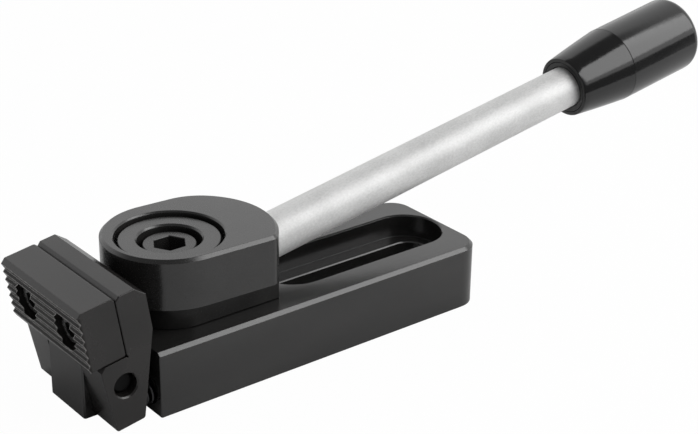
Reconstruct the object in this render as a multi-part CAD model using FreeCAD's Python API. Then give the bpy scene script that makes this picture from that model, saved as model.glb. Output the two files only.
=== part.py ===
# Pull-down clamp with a swinging lever and a tilting toothed jaw, all sizes in millimetres.
# The origin lies on the lever's pivot axis, in the plane of the base's resting face.
# +X runs from the jaw to the tail, +Y to the left seen from the jaw, +Z up.
import FreeCAD
import Part
import math
import os

Vector = FreeCAD.Vector
up = Vector(0, 0, 1)
across = Vector(0, 1, 0)
along = Vector(1, 0, 0)

# Base block
base_width = 50.0
base_height = 23.4
front_from_pivot = 20.5
tail_from_pivot = 117.5
tail_corner_radius = 9.0
top_edge_chamfer = 1.2
front_edge_chamfer = 0.3

# Hold-down slot in the base: a through slot with a wider step for the bolt heads
slot_width = 14.0
slot_edge_chamfer = 0.4
step_width = 26.5
step_depth = 8.7
step_edge_chamfer = 0.5
step_start_from_pivot = 36.75
step_tail_wall = 2.35
slot_shift_in_step = 1.9

# Tongue at the front of the base, which carries the hinge pin
tongue_width = 21.6
tongue_height = 22.0
tongue_reach = 20.1
tongue_edge_chamfer = 0.5

# Pivot: a flanged bush that stands in the base and the cap screw that holds it down
bush_recess_depth = 4.0
sleeve_diameter = 26.0
flange_diameter = 34.0
flange_thickness = 6.0
flange_edge_chamfer = 0.3
head_well_diameter = 21.4
head_well_depth = 13.8
head_well_chamfer = 0.6
screw_hole_diameter = 13.0
pivot_screw_diameter = 12.0
pivot_head_diameter = 18.0
pivot_head_height = 12.0
pivot_head_chamfer = 0.35
pivot_tip_chamfer = 0.9
pivot_hex_width = 10.0
pivot_hex_depth = 6.0
pivot_screw_length = 30.0
thread_hole_spare = 2.2

# Lever hub: a wide upper part whose eccentric round front is the cam, over a narrower foot
hub_top = 50.2
hub_step_height = 32.5
hub_top_chamfer = 1.1
hub_foot_radius = 16.4
cam_radius = 23.25
cam_centre_x = 1.75
cam_centre_y = 2.15
tail_radius = 27.95
tail_centre_x = 8.8
tail_centre_y = -1.2
left_corner_y = 24.3
right_corner_y = -22.25
left_corner_rounding = 20.0
right_corner_rounding = 3.0
ring_well_diameter = 36.4
ring_well_chamfer = 0.5
flange_below_top = 1.5

# Lever rod and its grip, stations measured along the rod from the pivot axis
rod_diameter = 16.0
rod_rise_angle = 9.85
rod_crossing_height = 31.2
rod_thread_diameter = 12.0
rod_thread_start = 16.0
rod_thread_spare = 0.5
rod_seat_start = 22.5
rod_end_chamfer = 0.5
grip_front = 182.8
grip_shoulder = 207.5
grip_end = 245.2
grip_front_radius = 11.75
grip_shoulder_radius = 14.85
grip_end_radius = 14.95
grip_end_rounding = 3.8
grip_bore_clearance = 0.3
grip_bush_start = 206.0
grip_bush_length = 28.0
grip_bush_radius = 10.0
grip_thread_spare = 2.0

# Hinge of the jaw
hinge_from_front = 12.3
hinge_height = 16.2
hinge_pin_diameter = 8.0
hinge_pin_length = 44.0
hinge_pin_chamfer = 1.0
jaw_lean_angle = 9.15

# Jaw carrier, stations measured from the hinge axis with the jaw upright
carrier_width = 49.6
ear_front = 7.4
ear_front_bottom = 6.4
ear_bottom = 14.8
ear_back_bottom = 4.17
ear_front_chamfer = 1.5
ear_edge_rounding = 1.0
insert_seat_back = 2.5
insert_seat_height = 9.8
seat_corner_relief = 0.4
knee_height = 15.06
back_bevel_height = 28.0
jaw_top_height = 31.45
top_back = 9.4
seat_top_bevel = 1.3
carrier_edge_chamfer = 0.25
ear_hole_chamfer = 0.5
fork_roof_height = 8.0

# Toothed insert and its two screws
insert_width = 48.7
insert_front = 11.1
insert_nose_drop = 1.55
insert_nose_depth = 1.65
insert_back_bevel = 1.0
insert_corner_rounding = 1.0
insert_side_chamfer = 0.35
tooth_pitch = 3.04
tooth_flank_drop = 2.2
tooth_depth = 0.88
tooth_count = 7
jaw_screw_spacing = 25.0
jaw_screw_height = 20.1
jaw_screw_diameter = 6.0
jaw_screw_length = 10.0
jaw_head_diameter = 10.0
jaw_head_height = 6.0
jaw_head_chamfer = 0.6
jaw_head_seat = 3.0
jaw_hex_width = 5.0
jaw_hex_depth = 3.0
jaw_hole_diameter = 6.6
jaw_well_diameter = 12.5
jaw_thread_spare = 0.6

# Return springs that push the ears away from the base
spring_spacing = 36.2
spring_height = 7.0
spring_diameter = 8.0
spring_wire_diameter = 1.0
spring_turns = 6.0
spring_pocket_diameter = 8.8
base_pocket_depth = 6.0
ear_pocket_depth = 2.0

# Clearances
running_clearance = 0.05
lift_clearance = 0.3
cam_clearance = 0.8
tongue_side_clearance = 0.4
spring_end_clearance = 0.2
cut_margin = 5.0

# Two points nearer to each other than this count as one place
same_place = 0.001

# Heights of the pivot stack, from the base up
recess_floor = base_height - bush_recess_depth
hub_bottom = base_height + lift_clearance
flange_top = hub_top - flange_below_top
flange_bottom = flange_top - flange_thickness
ring_well_floor = flange_bottom - lift_clearance
head_seat = flange_top - head_well_depth
pivot_screw_tip = head_seat - pivot_screw_length

# Places along the base
base_front = -front_from_pivot
hinge_x = base_front - hinge_from_front
step_floor = base_height - step_depth
step_end_from_pivot = tail_from_pivot - step_tail_wall
step_first = step_start_from_pivot + step_width / 2
step_last = step_end_from_pivot - step_width / 2
slot_first = step_first - slot_shift_in_step
slot_last = step_last + slot_shift_in_step

# The carrier's back stands one cam clearance in front of the cam when the lever is at rest
lean = math.radians(jaw_lean_angle)
cam_reach = cam_radius - cam_centre_x
knee_from_hinge = -hinge_x - cam_reach - cam_clearance
carrier_back = (knee_from_hinge + knee_height * math.sin(lean)) / math.cos(lean)
hinge_point = Vector(hinge_x, 0, hinge_height)

# Direction of the rod
rise = math.radians(rod_rise_angle)
rod_direction = Vector(math.cos(rise), 0, math.sin(rise))
rod_origin = Vector(0, 0, rod_crossing_height)


def post(radius, low, high, x=0.0):
    return Part.makeCylinder(radius, high - low, Vector(x, 0, low), up)


def rod_bar(radius, start, end):
    return Part.makeCylinder(radius, end - start, rod_origin + rod_direction * start, rod_direction)


def cross_bar(radius, half_length, x, z):
    return Part.makeCylinder(radius, 2 * half_length, Vector(x, -half_length, z), across)


def jaw_bar(radius, front, back, y, height):
    start = hinge_point + Vector(front, y, height)
    return Part.makeCylinder(radius, back - front, start, along)


def block(x_low, x_high, half_width, z_low, z_high):
    corner = Vector(x_low, -half_width, z_low)
    return Part.makeBox(x_high - x_low, 2 * half_width, z_high - z_low, corner)


def side_profile(points, half_width):
    corners = [Vector(x, -half_width, z) for x, z in points]
    outline = Part.makePolygon(corners + corners[:1])
    return Part.Face(outline).extrude(across * (2 * half_width))


def long_slot(half_width, x_first, x_last, low, high):
    body = block(x_first, x_last, half_width, low, high)
    ends = [post(half_width, low, high, x_first), post(half_width, low, high, x_last)]
    return body.fuse(ends).removeSplitter()


def chamfered_mouth(half_width, x_first, x_last, mouth, chamfer):
    # A 45 degree bevel round the mouth of a long slot, as a cone at each end and a wedge between
    low = mouth - chamfer
    high = mouth + chamfer
    inner = half_width
    outer = half_width + 2 * chamfer
    corners = [(-inner, low), (inner, low), (outer, high), (-outer, high)]
    points = [Vector(x_first, y, z) for y, z in corners]
    wedge = Part.Face(Part.makePolygon(points + points[:1])).extrude(along * (x_last - x_first))
    ends = []
    for x in (x_first, x_last):
        ends.append(Part.makeCone(inner, outer, 2 * chamfer, Vector(x, 0, low), up))
    return wedge.fuse(ends)


def hex_hole(width, depth, mouth, inward, turn_reference):
    # A hexagonal socket whose first corner points along turn_reference
    corner_radius = width / math.sqrt(3)
    side = inward.cross(turn_reference)
    corners = []
    for number in range(6):
        angle = math.radians(60 * number)
        offset = turn_reference * math.cos(angle) + side * math.sin(angle)
        corners.append(mouth + offset * corner_radius)
    outline = Part.makePolygon(corners + corners[:1])
    return Part.Face(outline).extrude(inward * depth)


def revolved(points, origin, direction):
    # Turns an outline of (station, radius) pairs round an axis
    side = direction.cross(across)
    corners = [origin + direction * station + side * radius for station, radius in points]
    face = Part.Face(Part.makePolygon(corners + corners[:1]))
    return face.revolve(origin, direction, 360)


def edges_where(shape, test):
    return [edge for edge in shape.Edges if test(edge)]


def is_upright(edge):
    box = edge.BoundBox
    return box.XLength < same_place and box.YLength < same_place and box.ZLength > same_place


def lies_at_height(edge, height):
    box = edge.BoundBox
    return abs(box.ZMin - height) < same_place and abs(box.ZMax - height) < same_place


def lies_on_side(edge, half_width):
    box = edge.BoundBox
    flat = box.YLength < same_place
    return flat and abs(abs(box.YMin) - half_width) < same_place


def lean_forward(shape):
    return shape.rotated(hinge_point, across, -jaw_lean_angle)


def tail_corner(y):
    drop = y - tail_centre_y
    return Vector(tail_centre_x + math.sqrt(tail_radius**2 - drop**2), y, 0)


def touch_point(corner, side):
    # Where the straight side from a tail corner meets the round front without a kink
    centre = Vector(cam_centre_x, cam_centre_y, 0)
    away = corner - centre
    angle = math.atan2(away.y, away.x) + side * math.acos(cam_radius / away.Length)
    return centre + Vector(math.cos(angle), math.sin(angle), 0) * cam_radius


def hub_outline():
    # Eccentric round front, two straight sides and the round tail
    tail_left = tail_corner(left_corner_y)
    tail_right = tail_corner(right_corner_y)
    left = touch_point(tail_left, 1)
    right = touch_point(tail_right, -1)
    front_middle = Vector(cam_centre_x - cam_radius, cam_centre_y, 0)
    tail_middle = Vector(tail_centre_x + tail_radius, tail_centre_y, 0)
    edges = [
        Part.Arc(left, front_middle, right).toShape(),
        Part.LineSegment(right, tail_right).toShape(),
        Part.Arc(tail_right, tail_middle, tail_left).toShape(),
        Part.LineSegment(tail_left, left).toShape(),
    ]
    return Part.Face(Part.Wire(edges))


def upright_at(shape, corner):
    # The upright edge that stands over a corner of an outline
    def stands_over(edge):
        foot = Vector(edge.BoundBox.XMin, edge.BoundBox.YMin, 0)
        return is_upright(edge) and foot.distanceToPoint(corner) < same_place

    return edges_where(shape, stands_over)


def hub_block(low, high):
    body = hub_outline().extrude(up * (high - low))
    body = body.makeFillet(left_corner_rounding, upright_at(body, tail_corner(left_corner_y)))
    body = body.makeFillet(right_corner_rounding, upright_at(body, tail_corner(right_corner_y)))
    return body.translated(up * low)


def spring_pockets(front, back):
    pockets = []
    for side in (-1, 1):
        start = Vector(front, side * spring_spacing / 2, spring_height)
        pockets.append(Part.makeCylinder(spring_pocket_diameter / 2, back - front, start, along))
    return pockets


def ear_pocket_floor():
    # The ear's leaning back face at the spring's height, less the pocket's depth
    slope = (carrier_back - ear_back_bottom) / (knee_height + ear_bottom)
    drop = spring_height - hinge_height
    upright_drop = drop * math.cos(lean)
    face_x = carrier_back - (knee_height - upright_drop) * slope
    return hinge_x + face_x * math.cos(lean) - upright_drop * math.sin(lean) - ear_pocket_depth


def make_base_body():
    half_width = base_width / 2
    body = block(base_front, tail_from_pivot, half_width, 0, base_height)
    tail_edges = edges_where(body, lambda e: is_upright(e) and e.BoundBox.XMin > 0)
    body = body.makeFillet(tail_corner_radius, tail_edges)
    top_edges = edges_where(
        body,
        lambda e: lies_at_height(e, base_height) and e.BoundBox.XMax > base_front + same_place,
    )
    body = body.makeChamfer(top_edge_chamfer, top_edges)
    front_edges = edges_where(body, lambda e: is_upright(e) and e.BoundBox.XMax < 0)
    body = body.makeChamfer(front_edge_chamfer, front_edges)

    tongue_front = base_front - tongue_reach
    tongue_back = base_front + cut_margin
    tongue = block(tongue_front, tongue_back, tongue_width / 2, 0, tongue_height)
    nose_edges = edges_where(
        tongue,
        lambda e: e.BoundBox.XMax < tongue_front + same_place and not lies_at_height(e, 0),
    )
    tongue = tongue.makeChamfer(tongue_edge_chamfer, nose_edges)
    body = body.fuse(tongue)

    step = long_slot(step_width / 2, step_first, step_last, step_floor, base_height + cut_margin)
    through = long_slot(slot_width / 2, slot_first, slot_last, -cut_margin, base_height)
    step_bevel = chamfered_mouth(step_width / 2, step_first, step_last, base_height, step_edge_chamfer)
    slot_bevel = chamfered_mouth(slot_width / 2, slot_first, slot_last, step_floor, slot_edge_chamfer)
    recess = post(sleeve_diameter / 2, recess_floor, base_height + cut_margin)
    thread = post(pivot_screw_diameter / 2, pivot_screw_tip - thread_hole_spare, base_height)
    pin_hole = cross_bar(hinge_pin_diameter / 2, tongue_width, hinge_x, hinge_height)
    pockets = spring_pockets(base_front - cut_margin, base_front + base_pocket_depth)
    return body.cut([step, through, step_bevel, slot_bevel, recess, thread, pin_hole] + pockets)


def make_hinge_pin():
    pin = cross_bar(hinge_pin_diameter / 2, hinge_pin_length / 2, hinge_x, hinge_height)
    ends = edges_where(pin, lambda e: lies_on_side(e, hinge_pin_length / 2))
    return pin.makeChamfer(hinge_pin_chamfer, ends)


def make_pivot_bush():
    sleeve = post(sleeve_diameter / 2, recess_floor, flange_top)
    flange = post(flange_diameter / 2, flange_bottom, flange_top)
    rim = edges_where(flange, lambda e: lies_at_height(e, flange_top))
    flange = flange.makeChamfer(flange_edge_chamfer, rim)
    bush = sleeve.fuse(flange)
    well = post(head_well_diameter / 2, head_seat, flange_top + cut_margin)
    low_radius = head_well_diameter / 2
    high_radius = low_radius + 2 * head_well_chamfer
    bevel_base = Vector(0, 0, flange_top - head_well_chamfer)
    bevel = Part.makeCone(low_radius, high_radius, 2 * head_well_chamfer, bevel_base, up)
    hole = post(screw_hole_diameter / 2, 0, flange_top)
    return bush.cut([well, bevel, hole]).removeSplitter()


def make_pivot_screw():
    head_top = head_seat + pivot_head_height
    head = post(pivot_head_diameter / 2, head_seat, head_top)
    rim = edges_where(head, lambda e: lies_at_height(e, head_top))
    head = head.makeChamfer(pivot_head_chamfer, rim)
    shank = post(pivot_screw_diameter / 2, pivot_screw_tip, head_seat)
    tip = edges_where(shank, lambda e: lies_at_height(e, pivot_screw_tip))
    shank = shank.makeChamfer(pivot_tip_chamfer, tip)
    socket = hex_hole(pivot_hex_width, pivot_hex_depth, Vector(0, 0, head_top), -up, along)
    return head.fuse(shank).cut(socket)


def make_return_spring(side):
    low = ear_pocket_floor() + spring_end_clearance + spring_wire_diameter / 2
    high = base_front + base_pocket_depth - spring_end_clearance - spring_wire_diameter / 2
    coil_radius = (spring_diameter - spring_wire_diameter) / 2
    path = Part.makeHelix((high - low) / spring_turns, high - low, coil_radius)
    section_wire = Part.Wire(
        Part.makeCircle(spring_wire_diameter / 2, Vector(coil_radius, 0, 0), across)
    )
    coil = Part.Wire(path).makePipeShell([section_wire], True, True)
    coil = coil.rotated(Vector(0, 0, 0), across, 90)
    return coil.translated(Vector(low, side * spring_spacing / 2, spring_height))


def make_lever_hub():
    wide = hub_block(hub_step_height, hub_top)
    rim = edges_where(wide, lambda e: lies_at_height(e, hub_top))
    wide = wide.makeChamfer(hub_top_chamfer, rim)

    tail_end = tail_centre_x + tail_radius
    foot = post(hub_foot_radius, hub_bottom, hub_step_height)
    foot = foot.fuse(block(0, tail_end, hub_foot_radius, hub_bottom, hub_step_height))
    foot = foot.common(hub_block(hub_bottom, hub_step_height))
    bore = post(sleeve_diameter / 2 + running_clearance, 0, hub_top)
    well = post(ring_well_diameter / 2, ring_well_floor, hub_top + cut_margin)
    low_radius = ring_well_diameter / 2
    high_radius = low_radius + 2 * ring_well_chamfer
    bevel_base = Vector(0, 0, hub_top - ring_well_chamfer)
    bevel = Part.makeCone(low_radius, high_radius, 2 * ring_well_chamfer, bevel_base, up)
    rod_end = tail_end + rod_diameter
    seat = rod_bar(rod_diameter / 2, rod_seat_start, rod_end)
    thread = rod_bar(rod_thread_diameter / 2, rod_thread_start - rod_thread_spare, rod_end)
    return wide.fuse(foot).cut([bore, well, bevel, seat, thread]).removeSplitter()


def chamfered_thread(start, end, tip):
    # A plain thread cylinder whose far edge, at the station tip, is bevelled
    thread = rod_bar(rod_thread_diameter / 2, start, end)
    tip_centre = rod_origin + rod_direction * tip
    rims = edges_where(
        thread,
        lambda e: e.Closed and e.CenterOfMass.distanceToPoint(tip_centre) < same_place,
    )
    return thread.makeChamfer(rod_end_chamfer, rims)


def make_lever_rod():
    rod = rod_bar(rod_diameter / 2, rod_seat_start, grip_bush_start)
    upper_end = grip_bush_start + grip_bush_length
    lower_thread = chamfered_thread(rod_thread_start, rod_seat_start, rod_thread_start)
    upper_thread = chamfered_thread(grip_bush_start, upper_end, upper_end)
    return rod.fuse([lower_thread, upper_thread])


def make_grip():
    bore_radius = rod_diameter / 2 + grip_bore_clearance
    bush_end = grip_bush_start + grip_bush_length + grip_thread_spare
    outline = [
        (grip_front, bore_radius),
        (grip_front, grip_front_radius),
        (grip_shoulder, grip_shoulder_radius),
        (grip_end, grip_end_radius),
        (grip_end, 0),
        (bush_end, 0),
        (bush_end, rod_thread_diameter / 2),
        (grip_bush_start + grip_bush_length, rod_thread_diameter / 2),
        (grip_bush_start + grip_bush_length, grip_bush_radius),
        (grip_bush_start, grip_bush_radius),
        (grip_bush_start, bore_radius),
    ]
    grip = revolved(outline, rod_origin, rod_direction)
    end_centre = rod_origin + rod_direction * grip_end
    end_edges = edges_where(
        grip,
        lambda e: e.Closed and e.CenterOfMass.distanceToPoint(end_centre) < same_place,
    )
    return grip.makeFillet(grip_end_rounding, end_edges)


def make_grip_bush():
    bush_end = grip_bush_start + grip_bush_length
    sleeve = rod_bar(grip_bush_radius, grip_bush_start, bush_end)
    return sleeve.cut(rod_bar(rod_thread_diameter / 2, grip_bush_start, bush_end))


def make_jaw_carrier():
    outline = [
        (-ear_front_bottom, -ear_bottom),
        (-ear_front, insert_seat_height - ear_front_chamfer),
        (ear_front_chamfer - ear_front, insert_seat_height),
        (insert_seat_back, insert_seat_height),
        (insert_seat_back, jaw_top_height - seat_top_bevel),
        (insert_seat_back + seat_top_bevel, jaw_top_height),
        (top_back, jaw_top_height),
        (carrier_back, back_bevel_height),
        (carrier_back, knee_height),
        (ear_back_bottom, -ear_bottom),
    ]
    placed = [(hinge_x + x, hinge_height + z) for x, z in outline]
    carrier = side_profile(placed, carrier_width / 2)
    bottom = hinge_height - ear_bottom
    long_bottom_edges = edges_where(
        carrier,
        lambda e: lies_at_height(e, bottom) and not lies_on_side(e, carrier_width / 2),
    )
    carrier = carrier.makeFillet(ear_edge_rounding, long_bottom_edges)
    ledge = hinge_height + insert_seat_height
    side_edges = edges_where(
        carrier,
        lambda e: lies_on_side(e, carrier_width / 2) and not lies_at_height(e, ledge),
    )
    carrier = carrier.makeChamfer(carrier_edge_chamfer, side_edges)

    fork_half_width = tongue_width / 2 + tongue_side_clearance
    fork_low = hinge_height - ear_bottom - cut_margin
    fork_high = hinge_height + fork_roof_height
    fork_front = hinge_x - ear_front - cut_margin
    fork_back = hinge_x + carrier_back + cut_margin
    fork = block(fork_front, fork_back, fork_half_width, fork_low, fork_high)
    seat_x = hinge_x + insert_seat_back
    relief = cross_bar(seat_corner_relief, carrier_width, seat_x, ledge)
    ear_hole_radius = hinge_pin_diameter / 2 + running_clearance
    ear_hole = cross_bar(ear_hole_radius, carrier_width, hinge_x, hinge_height)
    cuts = [fork, relief, ear_hole]
    for side in (-1, 1):
        start = Vector(hinge_x, side * (carrier_width / 2 - ear_hole_chamfer), hinge_height)
        wide_radius = ear_hole_radius + 2 * ear_hole_chamfer
        cone = Part.makeCone(ear_hole_radius, wide_radius, 2 * ear_hole_chamfer, start, across * side)
        cuts.append(cone)
    thread_end = jaw_screw_length - jaw_head_seat + jaw_thread_spare
    for side in (-1, 1):
        y = side * jaw_screw_spacing / 2
        cuts.append(jaw_bar(jaw_screw_diameter / 2, 0, thread_end, y, jaw_screw_height))
    carrier = lean_forward(carrier.cut(cuts))
    return carrier.cut(spring_pockets(ear_pocket_floor(), base_front))


def make_jaw_insert():
    first_tip = jaw_top_height - insert_nose_drop
    low = insert_seat_height
    outline = [
        (insert_seat_back, low),
        (insert_seat_back, jaw_top_height - insert_back_bevel),
        (insert_seat_back - insert_back_bevel, jaw_top_height),
        (insert_nose_depth - insert_front, jaw_top_height),
    ]
    for number in range(tooth_count):
        tip = first_tip - number * tooth_pitch
        outline.append((-insert_front, tip))
        drop = min(tooth_flank_drop, tip - low)
        outline.append((tooth_depth * drop / tooth_flank_drop - insert_front, tip - drop))
    placed = [(hinge_x + x, hinge_height + z) for x, z in outline]
    insert = side_profile(placed, insert_width / 2)
    back_x = hinge_x + insert_seat_back
    seat_line = edges_where(
        insert,
        lambda e: lies_at_height(e, hinge_height + low) and e.BoundBox.XMin > back_x - same_place,
    )
    insert = insert.makeFillet(insert_corner_rounding, seat_line)
    rounding_start = back_x - insert_corner_rounding
    seated_side_edges = edges_where(
        insert,
        lambda e: lies_on_side(e, insert_width / 2)
        and (lies_at_height(e, hinge_height + low) or e.BoundBox.XMin > rounding_start - same_place)
        and not lies_at_height(e, hinge_height + jaw_top_height),
    )
    insert = insert.makeChamfer(insert_side_chamfer, seated_side_edges)
    cuts = []
    for side in (-1, 1):
        y = side * jaw_screw_spacing / 2
        front = -insert_front - cut_margin
        cuts.append(jaw_bar(jaw_well_diameter / 2, front, -jaw_head_seat, y, jaw_screw_height))
        cuts.append(jaw_bar(jaw_hole_diameter / 2, front, insert_seat_back, y, jaw_screw_height))
    return lean_forward(insert.cut(cuts))


def make_jaw_screw(side):
    y = side * jaw_screw_spacing / 2
    head_front = -jaw_head_seat - jaw_head_height
    head = jaw_bar(jaw_head_diameter / 2, head_front, -jaw_head_seat, y, jaw_screw_height)
    front_x = hinge_x + head_front
    rim = edges_where(head, lambda e: e.BoundBox.XMax < front_x + same_place)
    head = head.makeChamfer(jaw_head_chamfer, rim)
    shank_end = jaw_screw_length - jaw_head_seat
    shank = jaw_bar(jaw_screw_diameter / 2, -jaw_head_seat, shank_end, y, jaw_screw_height)
    mouth = Vector(front_x, y, hinge_height + jaw_screw_height)
    socket = hex_hole(jaw_hex_width, jaw_hex_depth, mouth, along, up)
    return lean_forward(head.fuse(shank).cut(socket))


def write(node, shape):
    solids = shape.Solids
    solid = solids[0] if len(solids) == 1 else shape
    print(node, "solids", len(solids), "valid", shape.isValid(), "volume", round(shape.Volume, 1))
    solid.exportStep(os.path.join("parts", node + ".step"))


os.makedirs("parts", exist_ok=True)
write("base_body", make_base_body())
write("hinge_pin", make_hinge_pin())
write("pivot_bush", make_pivot_bush())
write("pivot_screw", make_pivot_screw())
write("return_spring_left", make_return_spring(1))
write("return_spring_right", make_return_spring(-1))
write("lever_hub", make_lever_hub())
write("lever_rod", make_lever_rod())
write("grip", make_grip())
write("grip_bush", make_grip_bush())
write("jaw_carrier", make_jaw_carrier())
write("jaw_insert", make_jaw_insert())
write("jaw_screw_left", make_jaw_screw(1))
write("jaw_screw_right", make_jaw_screw(-1))
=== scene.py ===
import math

import bmesh
import bpy
from mathutils import Matrix, Vector


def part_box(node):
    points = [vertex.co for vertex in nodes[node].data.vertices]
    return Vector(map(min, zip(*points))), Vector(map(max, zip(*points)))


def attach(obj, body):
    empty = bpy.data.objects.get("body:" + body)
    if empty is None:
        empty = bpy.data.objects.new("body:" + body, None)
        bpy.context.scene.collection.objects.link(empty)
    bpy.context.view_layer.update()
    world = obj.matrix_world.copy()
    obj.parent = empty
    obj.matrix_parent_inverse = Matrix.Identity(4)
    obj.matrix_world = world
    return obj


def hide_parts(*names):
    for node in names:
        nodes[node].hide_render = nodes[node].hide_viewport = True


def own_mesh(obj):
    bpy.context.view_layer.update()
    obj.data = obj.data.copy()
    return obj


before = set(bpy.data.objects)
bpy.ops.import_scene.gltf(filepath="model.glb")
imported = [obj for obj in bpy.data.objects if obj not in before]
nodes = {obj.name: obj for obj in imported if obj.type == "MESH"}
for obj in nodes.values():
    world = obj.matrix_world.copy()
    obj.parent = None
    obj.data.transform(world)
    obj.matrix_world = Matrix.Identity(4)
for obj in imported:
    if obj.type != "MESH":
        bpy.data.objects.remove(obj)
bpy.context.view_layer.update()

mm = 0.001
print("frame loaded:", len(nodes), "nodes")


# Camera: it stands off the jaw's end, on the near side of the clamp, and looks down on it
cameraPlace = {
    "azimuth": -38.65,       # degrees round the clamp
    "elevation": 24.46,      # degrees above the table
    "roll": 0.88,            # small tilt of the picture
    "distance": 548.8,       # mm from the aim point
    "aimRight": 59.35,       # mm from the pivot axis to the middle of the picture
    "aimUp": 51.14,
    "focalLength": 83.51,    # mm
    "sensorWidth": 36,       # mm
    "nearest": 0.01,         # m, where the camera's view starts
    "farthest": 20,          # m, where it ends
}


def makeCamera(place):
    azimuth = math.radians(place["azimuth"])
    elevation = math.radians(place["elevation"])
    roll = math.radians(place["roll"])
    back = Vector((
        math.sin(azimuth) * math.cos(elevation),
        -math.cos(azimuth) * math.cos(elevation),
        math.sin(elevation),
    ))
    right = Vector((math.cos(azimuth), math.sin(azimuth), 0))
    up = back.cross(right)
    rolledRight = right * math.cos(roll) + up * math.sin(roll)
    rolledUp = up * math.cos(roll) - right * math.sin(roll)
    aim = (rolledRight * place["aimRight"] + rolledUp * place["aimUp"]) * mm
    spot = aim + back * place["distance"] * mm
    data = bpy.data.cameras.new("camera")
    data.lens = place["focalLength"]
    data.sensor_width = place["sensorWidth"]
    data.clip_start = place["nearest"]
    data.clip_end = place["farthest"]
    camera = bpy.data.objects.new("camera", data)
    turn = Matrix((rolledRight, rolledUp, back)).transposed().to_4x4()
    camera.matrix_world = Matrix.Translation(spot) @ turn
    bpy.context.scene.collection.objects.link(camera)
    bpy.context.scene.camera = camera


makeCamera(cameraPlace)
print("camera set")


# Small helpers for shader trees
def addNode(tree, kind, **values):
    node = tree.nodes.new(kind)
    for name, value in values.items():
        if hasattr(node, name) and name not in node.inputs:
            setattr(node, name, value)
        else:
            node.inputs[name].default_value = value
    return node


def mathNode(tree, operation, first, second=None):
    node = tree.nodes.new("ShaderNodeMath")
    node.operation = operation
    for index, value in enumerate((first, second)):
        if value is None:
            continue
        if isinstance(value, bpy.types.NodeSocket):
            tree.links.new(value, node.inputs[index])
        else:
            node.inputs[index].default_value = value
    return node.outputs[0]


def rangeNode(tree, value, fromLow, fromHigh, toLow, toHigh):
    node = tree.nodes.new("ShaderNodeMapRange")
    node.inputs["From Min"].default_value = fromLow
    node.inputs["From Max"].default_value = fromHigh
    node.inputs["To Min"].default_value = toLow
    node.inputs["To Max"].default_value = toHigh
    tree.links.new(value, node.inputs["Value"])
    return node.outputs[0]


def mixColour(tree, factor, first, second):
    node = tree.nodes.new("ShaderNodeMix")
    node.data_type = "RGBA"
    tree.links.new(factor, node.inputs[0])
    for socket, value in ((node.inputs[6], first), (node.inputs[7], second)):
        if isinstance(value, bpy.types.NodeSocket):
            tree.links.new(value, socket)
        else:
            socket.default_value = (*value, 1)
    return node.outputs[2]


def addSocket(group, name, side, kind, value=None):
    socket = group.interface.new_socket(name=name, in_out=side, socket_type="NodeSocket" + kind)
    if value is not None:
        socket.default_value = value


# Noise gathers round one half, so only these inner ranges of it are spread over a look's full span
closeSpread = (0.4, 0.6)
middleSpread = (0.35, 0.65)
wideSpread = (0.3, 0.7)


# Edge wear: finds the corners of a machined piece, breaks them up and rounds them a little
edgeWearShape = {
    "samples": 6,
    "wearStart": 0.985,      # cosine between a face and its rounded corner where wear starts
    "wearFull": 0.80,        # and where it is full
    "patchScale": 900.0,
    "patchDetail": 4.0,
    "patchRough": 0.65,
}


def makeEdgeWearGroup(look):
    group = bpy.data.node_groups.new("edgeWear", "ShaderNodeTree")
    addSocket(group, "Radius", "INPUT", "Float", 0.4 * mm)
    addSocket(group, "Break-up", "INPUT", "Float", 0.5)
    addSocket(group, "Worn", "OUTPUT", "Float")
    addSocket(group, "Rounded", "OUTPUT", "Vector")
    start = group.nodes.new("NodeGroupInput")
    end = group.nodes.new("NodeGroupOutput")
    bevel = addNode(group, "ShaderNodeBevel", samples=look["samples"])
    group.links.new(start.outputs["Radius"], bevel.inputs["Radius"])
    surface = group.nodes.new("ShaderNodeNewGeometry")
    dot = addNode(group, "ShaderNodeVectorMath", operation="DOT_PRODUCT")
    group.links.new(bevel.outputs[0], dot.inputs[0])
    group.links.new(surface.outputs["Normal"], dot.inputs[1])
    turned = rangeNode(group, dot.outputs["Value"], look["wearStart"], look["wearFull"], 0, 1)
    place = group.nodes.new("ShaderNodeTexCoord")
    noise = addNode(
        group, "ShaderNodeTexNoise",
        Scale=look["patchScale"], Detail=look["patchDetail"], Roughness=look["patchRough"],
    )
    group.links.new(place.outputs["Object"], noise.inputs["Vector"])
    patches = rangeNode(group, noise.outputs[0], *middleSpread, 0, 1)
    loss = mathNode(group, "MULTIPLY", start.outputs["Break-up"], patches)
    kept = mathNode(group, "SUBTRACT", 1, loss)
    worn = mathNode(group, "MULTIPLY", turned, kept)
    group.links.new(worn, end.inputs["Worn"])
    group.links.new(bevel.outputs[0], end.inputs["Rounded"])
    return group


# Fine grain: close texture of a blasted, blackened or plated surface, with slow patches over it
fineGrainShape = {
    "grainDetail": 3.0,
    "grainRough": 0.6,
    "patchScale": 70.0,
    "patchDetail": 5.0,
    "patchRough": 0.55,
}


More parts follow.
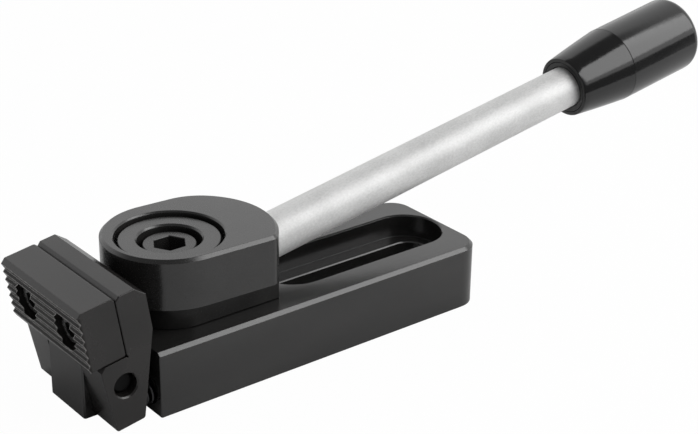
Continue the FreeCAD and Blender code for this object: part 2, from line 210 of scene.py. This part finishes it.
def makeFineGrainGroup(look):
    group = bpy.data.node_groups.new("fineGrain", "ShaderNodeTree")
    addSocket(group, "Scale", "INPUT", "Float", 2500.0)
    addSocket(group, "Stretch", "INPUT", "Vector", (1, 1, 1))
    addSocket(group, "Turn", "INPUT", "Vector", (0, 0, 0))
    addSocket(group, "Grain", "OUTPUT", "Float")
    addSocket(group, "Patches", "OUTPUT", "Float")
    start = group.nodes.new("NodeGroupInput")
    end = group.nodes.new("NodeGroupOutput")
    place = group.nodes.new("ShaderNodeTexCoord")
    mapping = addNode(group, "ShaderNodeMapping", vector_type="TEXTURE")
    group.links.new(place.outputs["Object"], mapping.inputs["Vector"])
    group.links.new(start.outputs["Turn"], mapping.inputs["Rotation"])
    group.links.new(start.outputs["Stretch"], mapping.inputs["Scale"])
    fine = addNode(
        group, "ShaderNodeTexNoise", Detail=look["grainDetail"], Roughness=look["grainRough"]
    )
    group.links.new(mapping.outputs[0], fine.inputs["Vector"])
    group.links.new(start.outputs["Scale"], fine.inputs["Scale"])
    slow = addNode(
        group, "ShaderNodeTexNoise",
        Scale=look["patchScale"], Detail=look["patchDetail"], Roughness=look["patchRough"],
    )
    group.links.new(mapping.outputs[0], slow.inputs["Vector"])
    group.links.new(fine.outputs[0], end.inputs["Grain"])
    group.links.new(slow.outputs[0], end.inputs["Patches"])
    return group


edgeWear = makeEdgeWearGroup(edgeWearShape)
fineGrain = makeFineGrainGroup(fineGrainShape)


def newMaterial(name):
    material = bpy.data.materials.new(name)
    material.use_nodes = True
    tree = material.node_tree
    return material, tree, tree.nodes["Principled BSDF"]


def addGroup(tree, group, **values):
    node = tree.nodes.new("ShaderNodeGroup")
    node.node_tree = group
    for name, value in values.items():
        node.inputs[name].default_value = value
    return node


def addBump(tree, height, normal, strength, distance):
    bump = addNode(tree, "ShaderNodeBump", Strength=strength, Distance=distance)
    tree.links.new(height, bump.inputs["Height"])
    if normal is not None:
        tree.links.new(normal, bump.inputs["Normal"])
    return bump.outputs[0]


# The jaw leans forward on its hinge; heights and depths on it are measured from the hinge axis
jawPlace = {
    "hingeX": -32.8,
    "hingeHeight": 16.2,
    "lean": 9.15,
    "headSeat": -3.0,
    "screwHeight": 20.1,
    "screwSpacing": 25.0,
}


# Blackened steel: a thin oxide over a machined face, rubbed bright along its edges
plainShine = 0.5             # the shader's specular level where nothing changes it


def makeBlackSteel(name, look):
    material, tree, shader = newMaterial(name)
    grain = addGroup(tree, fineGrain, Scale=look["grainScale"], Stretch=look["stretch"])
    wear = addGroup(tree, edgeWear, Radius=look["edgeRadius"] * mm)
    wear.inputs["Break-up"].default_value = look["breakUp"]
    mottle = rangeNode(tree, grain.outputs["Patches"], *middleSpread, 0, 1)
    oxide = mixColour(tree, mottle, look["darkColour"], look["paleColour"])
    wornShare = mathNode(tree, "MULTIPLY", wear.outputs["Worn"], look["wear"])
    if "crestWear" in look:
        teeth = findTeeth(tree, look)
        crestWear = rangeNode(tree, teeth, 0, 1, look["wear"], look["crestWear"])
        wornShare = mathNode(tree, "MULTIPLY", wear.outputs["Worn"], crestWear)
        wornShare = mathNode(tree, "MINIMUM", wornShare, 1)
        level = rangeNode(tree, teeth, 0, 1, plainShine, look["flankLevel"])
        tree.links.new(level, shader.inputs["Specular IOR Level"])
    colour = mixColour(tree, wornShare, oxide, look["edgeColour"])
    tree.links.new(colour, shader.inputs["Base Color"])
    rough = rangeNode(tree, grain.outputs["Grain"], *wideSpread, look["smooth"], look["rough"])
    tree.links.new(rough, shader.inputs["Roughness"])
    metal = mathNode(tree, "MULTIPLY", wornShare, look["wornMetal"])
    tree.links.new(metal, shader.inputs["Metallic"])
    shader.inputs["IOR"].default_value = look["ior"]
    # Painted shade: a lower specular level below a given height darkens the foot as if it were shaded
    if "paintedShadeBelow" in look:
        addPaintedFootShade(tree, shader, look)
    normal = wear.outputs["Rounded"]
    if "crestWear" in look:
        normal = addSerration(tree, normal, teeth, look)
    normal = addBump(tree, grain.outputs["Grain"], normal, look["bump"], look["bumpDepth"] * mm)
    tree.links.new(normal, shader.inputs["Normal"])
    return material


def addPaintedFootShade(tree, shader, look):
    # Painted shade: below the hub's rim the specular level is cut, so the foot looks dark as if it lay
    # in shadow under the rim
    place = tree.nodes.new("ShaderNodeTexCoord")
    split = tree.nodes.new("ShaderNodeSeparateXYZ")
    tree.links.new(place.outputs["Object"], split.inputs[0])
    edge = look["paintedShadeBelow"] * mm
    fade = look["paintedShadeFade"] * mm
    level = rangeNode(tree, split.outputs["Z"], edge - fade, edge, look["paintedShadeLevel"], plainShine)
    tree.links.new(level, shader.inputs["Specular IOR Level"])


def findTeeth(tree, look):
    # One on the toothed front of the jaw, nought behind it and above its first crest
    lean = math.radians(jawPlace["lean"])
    hinge = Vector((jawPlace["hingeX"], 0, jawPlace["hingeHeight"]))
    backward = Vector((math.cos(lean), 0, math.sin(lean)))
    upward = Vector((-math.sin(lean), 0, math.cos(lean)))
    place = tree.nodes.new("ShaderNodeTexCoord")
    share = 1
    for direction, start, end in ((backward, *look["teethDepth"]), (upward, *look["teethTop"])):
        along = addNode(tree, "ShaderNodeVectorMath", operation="DOT_PRODUCT")
        tree.links.new(place.outputs["Object"], along.inputs[0])
        along.inputs[1].default_value = direction
        zero = hinge.dot(direction)
        part = rangeNode(tree, along.outputs["Value"], (zero + start) * mm, (zero + end) * mm, 0, 1)
        share = mathNode(tree, "MULTIPLY", part, share)
    return share


def addSerration(tree, normal, teeth, look):
    # Fine cuts across the teeth; a wave texture of scale one has its bands this many metres apart
    bandGap = math.tau / 20
    place = tree.nodes.new("ShaderNodeTexCoord")
    wave = addNode(tree, "ShaderNodeTexWave", bands_direction="Y")
    wave.inputs["Scale"].default_value = bandGap / (look["serrationPitch"] * mm)
    tree.links.new(place.outputs["Object"], wave.inputs["Vector"])
    cuts = mathNode(tree, "MULTIPLY", wave.outputs["Fac"], teeth)
    return addBump(tree, cuts, normal, look["serration"], look["serrationDepth"] * mm)


blackLook = {
    "darkColour": (0.0120, 0.0117, 0.0114),
    "paleColour": (0.0210, 0.0204, 0.0199),
    "edgeColour": (0.36, 0.355, 0.35),
    "wornMetal": 0.8,        # how metallic a fully worn edge is
    "wear": 0.30,
    "breakUp": 0.9,
    "edgeRadius": 0.22,
    "grainScale": 2600.0,
    "stretch": (1.0, 1.0, 1.0),
    "smooth": 0.16,
    "rough": 0.27,
    "ior": 1.56,
    "bump": 0.12,
    "bumpDepth": 0.05,
}
baseLook = dict(blackLook, stretch=(4.0, 1.0, 1.0), ior=1.63)
# The hub's look also paints shade on its foot: below a given height its specular level drops, so it
# looks shaded
hubLook = dict(
    blackLook, smooth=0.18, rough=0.29, ior=1.65, paintedShadeBelow=32.5, paintedShadeFade=0.2, paintedShadeLevel=0.12,
)
jawLook = dict(
    blackLook, darkColour=(0.0120, 0.0110, 0.0106), paleColour=(0.0190, 0.0176, 0.0170),
    ior=1.50, wear=0.16,
)
insertLook = dict(
    jawLook, stretch=(1.0, 5.0, 1.0), edgeRadius=0.45, wear=0.10, breakUp=0.3,
    crestWear=2.4, edgeColour=(0.55, 0.54, 0.53), flankLevel=0.15,
    serrationPitch=0.9, serration=0.6, serrationDepth=0.1,
    teethDepth=(-9.7, -10.1), teethTop=(30.1, 29.9),
)
screwLook = dict(blackLook, edgeRadius=0.2, smooth=0.2, rough=0.3)
pinLook = dict(
    blackLook, darkColour=(0.0040, 0.0040, 0.0040), paleColour=(0.0080, 0.0080, 0.0080),
    ior=1.22, smooth=0.45, rough=0.60, wear=0.12,
)


# Rod line, shared by the rod's grain and the grip: it crosses the pivot axis and rises to the grip
rodLine = {"crossing": 31.2, "rise": 9.85}


# Bright rod: satin plated steel, with a fine drawn grain along it and cloudy patches
rodLook = {
    "colour": (0.66, 0.66, 0.655),
    "cloud": (0.82, 0.82, 0.815),
    "grainScale": 1500.0,
    "stretch": (1.5, 1.0, 1.0),
    "speckle": (0.8, 1.2),   # sum of grain and patches that goes from colour to cloud
    "metal": 0.6,
    "smooth": 0.55,
    "rough": 0.70,
    "bump": 0.30,
    "bumpDepth": 0.05,
}


def makeRodSteel(look):
    material, tree, shader = newMaterial("brightRodSteel")
    grain = addGroup(tree, fineGrain, Scale=look["grainScale"], Stretch=look["stretch"])
    grain.inputs["Turn"].default_value = (0, -math.radians(rodLine["rise"]), 0)
    speckle = mathNode(tree, "ADD", grain.outputs["Patches"], grain.outputs["Grain"])
    cloud = rangeNode(tree, speckle, *look["speckle"], 0, 1)
    tree.links.new(mixColour(tree, cloud, look["colour"], look["cloud"]), shader.inputs["Base Color"])
    rough = rangeNode(tree, grain.outputs["Grain"], *wideSpread, look["smooth"], look["rough"])
    tree.links.new(rough, shader.inputs["Roughness"])
    shader.inputs["Metallic"].default_value = look["metal"]
    normal = addBump(tree, grain.outputs["Grain"], None, look["bump"], look["bumpDepth"] * mm)
    tree.links.new(normal, shader.inputs["Normal"])
    return material


# Grip plastic: glossy black moulding with a faint orange-peel skin
gripLook = {
    "colour": (0.004, 0.004, 0.0042),
    "cloud": (0.006, 0.006, 0.0062),
    "grainScale": 700.0,
    "smooth": 0.10,
    "rough": 0.17,
    "ior": 1.55,
    "bump": 0.18,
    "bumpDepth": 0.08,
}


def makeGripPlastic(look):
    material, tree, shader = newMaterial("gripPlastic")
    grain = addGroup(tree, fineGrain, Scale=look["grainScale"])
    cloud = rangeNode(tree, grain.outputs["Patches"], *closeSpread, 0, 1)
    tree.links.new(mixColour(tree, cloud, look["colour"], look["cloud"]), shader.inputs["Base Color"])
    rough = rangeNode(tree, grain.outputs["Grain"], *wideSpread, look["smooth"], look["rough"])
    tree.links.new(rough, shader.inputs["Roughness"])
    shader.inputs["IOR"].default_value = look["ior"]
    normal = addBump(tree, grain.outputs["Grain"], None, look["bump"], look["bumpDepth"] * mm)
    tree.links.new(normal, shader.inputs["Normal"])
    return material


# Plain metals for the small inner pieces
wireLook = {
    "colour": (0.06, 0.06, 0.062),
    "cloud": (0.09, 0.09, 0.092),
    "grainScale": 3000.0,
    "smooth": 0.3,
    "rough": 0.42,
    "bump": 0.1,
    "bumpDepth": 0.03,
}
brassLook = dict(
    wireLook, colour=(0.62, 0.45, 0.20), cloud=(0.70, 0.53, 0.27), smooth=0.22, rough=0.36,
)


def makePlainMetal(name, look):
    material, tree, shader = newMaterial(name)
    grain = addGroup(tree, fineGrain, Scale=look["grainScale"])
    cloud = rangeNode(tree, grain.outputs["Patches"], *closeSpread, 0, 1)
    tree.links.new(mixColour(tree, cloud, look["colour"], look["cloud"]), shader.inputs["Base Color"])
    rough = rangeNode(tree, grain.outputs["Grain"], *wideSpread, look["smooth"], look["rough"])
    tree.links.new(rough, shader.inputs["Roughness"])
    shader.inputs["Metallic"].default_value = 1.0
    normal = addBump(tree, grain.outputs["Grain"], None, look["bump"], look["bumpDepth"] * mm)
    tree.links.new(normal, shader.inputs["Normal"])
    return material


baseSteel = makeBlackSteel("baseBlackSteel", baseLook)
hubSteel = makeBlackSteel("hubBlackSteel", hubLook)
jawSteel = makeBlackSteel("jawBlackSteel", jawLook)
insertSteel = makeBlackSteel("insertBlackSteel", insertLook)
screwSteel = makeBlackSteel("screwBlackSteel", screwLook)
rodSteel = makeRodSteel(rodLook)
gripPlastic = makeGripPlastic(gripLook)
springWire = makePlainMetal("springWire", wireLook)
pinSteel = makeBlackSteel("pinSteel", pinLook)
bushBrass = makePlainMetal("bushBrass", brassLook)


# The solids that keep their CAD shape, each with its finish
dressing = {
    "base_body": baseSteel,
    "pivot_bush": hubSteel,
    "lever_hub": hubSteel,
    "lever_rod": rodSteel,
    "grip_bush": bushBrass,
    "hinge_pin": pinSteel,
    "jaw_carrier": jawSteel,
    "jaw_insert": insertSteel,
}
for nodeName, finish in dressing.items():
    solid = nodes[nodeName].data
    solid.materials.clear()
    solid.materials.append(finish)
print("steel, rod and grip finishes made")


# Finishing a piece: normals, object, body and material slot
mergeWithin = 0.002          # mm, corners closer than this become one
sharpFrom = 32               # degrees between two faces that make a sharp edge


def finishPiece(shape, name, place, body, material, replaced):
    bmesh.ops.remove_doubles(shape, verts=shape.verts, dist=mergeWithin * mm)
    bmesh.ops.transform(shape, matrix=place, verts=shape.verts)
    bmesh.ops.recalc_face_normals(shape, faces=shape.faces)
    data = bpy.data.meshes.new(name)
    shape.to_mesh(data)
    shape.free()
    piece = bpy.data.objects.new(name, data)
    bpy.context.scene.collection.objects.link(piece)
    data.shade_smooth()
    data.set_sharp_from_angle(angle=math.radians(sharpFrom))
    data.materials.append(material)
    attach(piece, body)
    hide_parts(*replaced)
    return piece


def spinProfile(shape, points, steps):
    # Turns an outline of (radius, height) pairs in mm round the Z axis
    verts = [shape.verts.new((radius * mm, 0, height * mm)) for radius, height in points]
    edges = [shape.edges.new(pair) for pair in zip(verts, verts[1:])]
    bmesh.ops.spin(
        shape, geom=verts + edges, cent=(0, 0, 0), axis=(0, 0, 1),
        angle=math.tau, steps=steps, use_merge=True,
    )


def rodPlace(station):
    # Carries a shape turned round Z onto the rod's axis, with its zero at a station along the rod
    rise = math.radians(rodLine["rise"])
    along = Vector((math.cos(rise), 0, math.sin(rise)))
    start = Vector((0, 0, rodLine["crossing"])) + along * station
    turn = along.to_track_quat("Z", "Y").to_matrix().to_4x4()
    return Matrix.Translation(start * mm) @ turn


# Grip: a tapered front, a nearly straight barrel, a fine parting ring between them and a rounded end
gripSize = {
    "front": 182.8,
    "shoulder": 207.5,
    "end": 245.18,
    "frontRadius": 11.75,
    "shoulderRadius": 14.83,
    "endRadius": 14.93,
    "boreRadius": 8.3,
    "boreDepth": 23.2,
    "boreChamfer": 0.25,
    "ringRadius": 10.2,
    "ringWidth": 0.25,
    "ringDepth": 0.2,
    "frontRounding": 0.35,
    "endRounding": 3.8,
    "bulge": 0.1,
    "partingDepth": 0.12,
    "partingWidth": 0.35,
    "steps": 128,
    "taperSteps": 10,
    "cornerSteps": 10,
}


def makeGrip(size):
    length = size["end"] - size["front"]
    neck = size["shoulder"] - size["front"]
    rounding = size["frontRounding"]
    inward = 0.3 * rounding  # about where a quarter circle has its middle, in from its corner
    half = size["ringWidth"] / 2
    points = [
        (0, size["boreDepth"]),
        (size["boreRadius"], size["boreDepth"]),
        (size["boreRadius"], size["boreChamfer"]),
        (size["boreRadius"] + size["boreChamfer"], 0),
        (size["ringRadius"] - half, 0),
        (size["ringRadius"], size["ringDepth"]),
        (size["ringRadius"] + half, 0),
        (size["frontRadius"] - rounding, 0),
        (size["frontRadius"] - inward, inward),
        (size["frontRadius"], rounding),
    ]
    for number in range(1, size["taperSteps"] + 1):
        share = number / size["taperSteps"]
        bulge = size["bulge"] * math.sin(math.pi * share)
        radius = size["frontRadius"] + (size["shoulderRadius"] - size["frontRadius"]) * share + bulge
        height = rounding + (neck - size["partingWidth"] - rounding) * share
        points.append((radius, height))
    points.append((size["shoulderRadius"] - size["partingDepth"], neck - size["partingWidth"] / 2))
    points.append((size["shoulderRadius"], neck))
    corner = size["endRounding"]
    for number in range(size["cornerSteps"] + 1):
        angle = math.pi / 2 * number / size["cornerSteps"]
        radius = size["endRadius"] - corner + corner * math.cos(angle)
        points.append((radius, length - corner + corner * math.sin(angle)))
    points.append((0, length))
    shape = bmesh.new()
    spinProfile(shape, points, size["steps"])
    finishPiece(
        shape, "moulded_grip", rodPlace(size["front"]), "lever", gripPlastic, ["grip"]
    )


makeGrip(gripSize)
print("grip made")


# Cap screws: bevelled head, hexagon socket with a bevel at its mouth, and a shank with a groove
# for each turn of its thread
threadShape = {
    "depth": 0.54,           # this and the next three are shares of the pitch
    "floorStart": 0.45,
    "floorEnd": 0.55,
    "crest": 0.95,
    "leftOut": 1.0,          # mm of the shank left out when its turns are counted
}
pivotScrewSize = {
    "headRadius": 9.0,
    "headHeight": 12.0,
    "headChamfer": 0.35,
    "hexWidth": 10.0,
    "hexDepth": 6.0,
    "mouthDepth": 0.25,
    "drillPoint": 0.2,       # depth of the socket's cone, as a share of the hexagon
    "seatChamfer": 0.2,
    "shankRadius": 6.0,
    "shankLength": 30.0,
    "pitch": 1.75,
    "sideSteps": 8,
}
jawScrewSize = {
    "headRadius": 5.0,
    "headHeight": 6.0,
    "headChamfer": 0.6,
    "hexWidth": 5.0,
    "hexDepth": 3.0,
    "mouthDepth": 0.15,
    "drillPoint": 0.2,
    "seatChamfer": 0.2,
    "shankRadius": 3.0,
    "shankLength": 10.0,
    "pitch": 1.0,
    "sideSteps": 8,
}


def addRing(shape, corners):
    return [shape.verts.new(corner) for corner in corners]


def joinRings(shape, above, below):
    # A band of four-cornered faces between two rings with the same count of corners
    for i in range(len(above)):
        shape.faces.new((above[i - 1], above[i], below[i], below[i - 1]))


def makeCapScrew(size, name, place, body, node):
    # The seat of the head is at zero, the head stands up along Z and the shank hangs below
    shape = bmesh.new()
    steps = 6 * size["sideSteps"]
    top = size["headHeight"]
    cornerRadius = size["hexWidth"] / math.sqrt(3)

    def circle(radius, height):
        angles = [math.tau * i / steps for i in range(steps)]
        return [(radius * mm * math.cos(a), radius * mm * math.sin(a), height * mm) for a in angles]

    def hexagon(height, growth):
        ring = []
        reach = cornerRadius * growth * mm
        for i in range(steps):
            side, part = divmod(i, size["sideSteps"])
            share = part / size["sideSteps"]
            first = math.radians(60 * side)
            second = math.radians(60 * (side + 1))
            x = math.cos(first) * (1 - share) + math.cos(second) * share
            y = math.sin(first) * (1 - share) + math.sin(second) * share
            ring.append((x * reach, y * reach, height * mm))
        return ring

    thread = size["pitch"]
    valley = size["shankRadius"] - threadShape["depth"] * thread
    turns = int((size["shankLength"] - threadShape["leftOut"]) / thread)
    chamfer = size["headChamfer"]
    seat = size["seatChamfer"]
    mouth = size["mouthDepth"]
    rings = [
        hexagon(top - size["hexDepth"], 1),
        hexagon(top - mouth, 1),
        hexagon(top, 1 + mouth / cornerRadius),
        circle(size["headRadius"] - chamfer, top),
        circle(size["headRadius"], top - chamfer),
        circle(size["headRadius"], seat),
        circle(size["headRadius"] - seat, 0),
        circle(size["shankRadius"], 0),
        circle(size["shankRadius"], thread - size["shankLength"] + turns * thread),
    ]
    for number in range(turns):
        height = thread - size["shankLength"] + (turns - number) * thread
        rings.append(circle(valley, height - thread * threadShape["floorStart"]))
        rings.append(circle(valley, height - thread * threadShape["floorEnd"]))
        rings.append(circle(size["shankRadius"], height - thread * threadShape["crest"]))
    rings.append(circle(valley, -size["shankLength"]))
    loops = [addRing(shape, ring) for ring in rings]
    for above, below in zip(loops, loops[1:]):
        joinRings(shape, above, below)
    floor = shape.faces.new(loops[0])
    bmesh.ops.poke(shape, faces=[floor], offset=-size["drillPoint"] * size["hexWidth"] * mm)
    shape.faces.new(loops[-1])
    finishPiece(shape, name, place, body, screwSteel, [node])


pivotPlace = {"headSeat": 34.9}


def jawMatrix(place, x, y, z):
    hinge = Matrix.Translation(Vector((place["hingeX"], 0, place["hingeHeight"])) * mm)
    lean = Matrix.Rotation(-math.radians(place["lean"]), 4, "Y")
    return hinge @ lean @ Matrix.Translation(Vector((x, y, z)) * mm)


seatMatrix = Matrix.Translation((0, 0, pivotPlace["headSeat"] * mm))
makeCapScrew(pivotScrewSize, "pivot_cap_screw", seatMatrix, "base", "pivot_screw")
outward = Matrix.Rotation(-math.pi / 2, 4, "Y")
for side, sideName in ((1, "left"), (-1, "right")):
    y = side * jawPlace["screwSpacing"] / 2
    place = jawMatrix(jawPlace, jawPlace["headSeat"], y, jawPlace["screwHeight"]) @ outward
    makeCapScrew(jawScrewSize, "jaw_cap_screw_" + sideName, place, "jaw", "jaw_screw_" + sideName)
print("cap screws made")


# Return springs: coils of round wire with capped ends
springSize = {
    "outerRadius": 4.0,
    "wireRadius": 0.5,
    "turns": 6,
    "stepsPerTurn": 40,
    "wireSides": 14,
    "height": 7.0,
    "pressedShare": 0.92,    # share of its length left when the jaw is right down
}


def makeSpring(size, sideName, node):
    low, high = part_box(node)
    middle = (low.y + high.y) / 2 / mm
    start = low.x / mm + size["wireRadius"]
    end = high.x / mm - size["wireRadius"]
    coilRadius = size["outerRadius"] - size["wireRadius"]
    shape = bmesh.new()
    section = bmesh.ops.create_circle(
        shape, cap_ends=False, segments=size["wireSides"], radius=size["wireRadius"] * mm,
        matrix=Matrix.Translation((coilRadius * mm, 0, 0)) @ Matrix.Rotation(math.pi / 2, 4, "X"),
    )
    edges = list({edge for vert in section["verts"] for edge in vert.link_edges})
    steps = size["turns"] * size["stepsPerTurn"]
    advance = (end - start) / steps * mm
    bmesh.ops.spin(
        shape, geom=section["verts"] + edges, cent=(0, 0, 0), axis=(0, 0, 1),
        dvec=(0, 0, advance), angle=math.tau * size["turns"], steps=steps,
    )
    bmesh.ops.holes_fill(shape, edges=[edge for edge in shape.edges if edge.is_boundary])
    along = Matrix.Rotation(math.pi / 2, 4, "Y")
    place = Matrix.Translation(Vector((start, middle, size["height"])) * mm) @ along
    name = "coil_spring_" + sideName
    piece = finishPiece(shape, name, place, "base", springWire, [node])
    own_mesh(piece)


for sideName in ("left", "right"):
    makeSpring(springSize, sideName, "return_spring_" + sideName)
print("springs made")


# Floor, world and lamps: a white sheet that ends in front of the clamp, a pale room behind it,
# a dark ceiling, and a soft box high on the right with a wider one just under it, which softens its rim
stageLook = {
    "floorColour": (0.80, 0.80, 0.80),
    "floorGlow": 0.98,       # share of plain white that the camera sees in the floor
    "floorSize": 6.0,
    "floorNearEdge": 0.20,   # how far the sheet reaches towards -Y
    "floorRough": 0.9,
    "floorShine": 0.1,
    "paleRoom": 1.0,
    "darkRoom": 0.20,
    "paleSide": (0.62, 0.78, 0.0),
    "paleSpread": (-0.1, 0.25),      # how much a direction faces the pale side: dark room, pale room
    "ceilingSpread": (0.88, 0.82),   # how much a direction points up: dark ceiling, room below it
}


def makeFloor(look):
    half = look["floorSize"] / 2
    shape = bmesh.new()
    bmesh.ops.create_grid(shape, x_segments=1, y_segments=1, size=half)
    for corner in shape.verts:
        corner.co.y = max(corner.co.y, -look["floorNearEdge"])
    data = bpy.data.meshes.new("floor")
    shape.to_mesh(data)
    shape.free()
    floor = bpy.data.objects.new("floor", data)
    bpy.context.scene.collection.objects.link(floor)
    material, tree, shader = newMaterial("floorPaper")
    shader.inputs["Base Color"].default_value = (*look["floorColour"], 1)
    shader.inputs["Roughness"].default_value = look["floorRough"]
    shader.inputs["Specular IOR Level"].default_value = look["floorShine"]
    glow = addNode(tree, "ShaderNodeEmission", Strength=1.0)
    path = tree.nodes.new("ShaderNodeLightPath")
    share = mathNode(tree, "MULTIPLY", path.outputs["Is Camera Ray"], look["floorGlow"])
    mix = tree.nodes.new("ShaderNodeMixShader")
    tree.links.new(share, mix.inputs[0])
    tree.links.new(shader.outputs[0], mix.inputs[1])
    tree.links.new(glow.outputs[0], mix.inputs[2])
    tree.links.new(mix.outputs[0], tree.nodes["Material Output"].inputs["Surface"])
    data.materials.append(material)


def makeWorld(look):
    world = bpy.data.worlds.new("studio")
    bpy.context.scene.world = world
    world.use_nodes = True
    tree = world.node_tree
    background = tree.nodes["Background"]
    background.inputs["Color"].default_value = (1, 1, 1, 1)
    place = tree.nodes.new("ShaderNodeTexCoord")
    split = tree.nodes.new("ShaderNodeSeparateXYZ")
    tree.links.new(place.outputs["Generated"], split.inputs[0])
    facing = addNode(tree, "ShaderNodeVectorMath", operation="DOT_PRODUCT")
    tree.links.new(place.outputs["Generated"], facing.inputs[0])
    facing.inputs[1].default_value = look["paleSide"]
    paleShare = rangeNode(tree, facing.outputs["Value"], *look["paleSpread"], 0, 1)
    belowCeiling = rangeNode(tree, split.outputs["Z"], *look["ceilingSpread"], 0, 1)
    share = mathNode(tree, "MULTIPLY", paleShare, belowCeiling)
    light = rangeNode(tree, share, 0, 1, look["darkRoom"], look["paleRoom"])
    path = tree.nodes.new("ShaderNodeLightPath")
    white = mathNode(tree, "MAXIMUM", light, path.outputs["Is Camera Ray"])
    tree.links.new(white, background.inputs["Strength"])


lamps = {
    "softBox": {
        "toward": (0.54, -0.58, 0.64),
        "distance": 1.25,
        "size": (0.95, 0.85),
        "power": 5.6,
    },
    "softBoxRim": {
        "toward": (0.54, -0.58, 0.54),
        "distance": 1.3,
        "size": (1.2, 1.15),
        "power": 5.2,
    },
}


def makeLamp(name, look):
    data = bpy.data.lights.new(name, "AREA")
    data.shape = "RECTANGLE"
    data.size, data.size_y = look["size"]
    data.energy = look["power"]
    lamp = bpy.data.objects.new(name, data)
    toward = Vector(look["toward"]).normalized()
    lamp.location = toward * look["distance"]
    lamp.rotation_euler = toward.to_track_quat("Z", "Y").to_euler()
    bpy.context.scene.collection.objects.link(lamp)


makeFloor(stageLook)
makeWorld(stageLook)
for lampName, lampLook in lamps.items():
    makeLamp(lampName, lampLook)
bpy.context.scene.view_settings.view_transform = "Standard"
print("floor, world and lamps made")
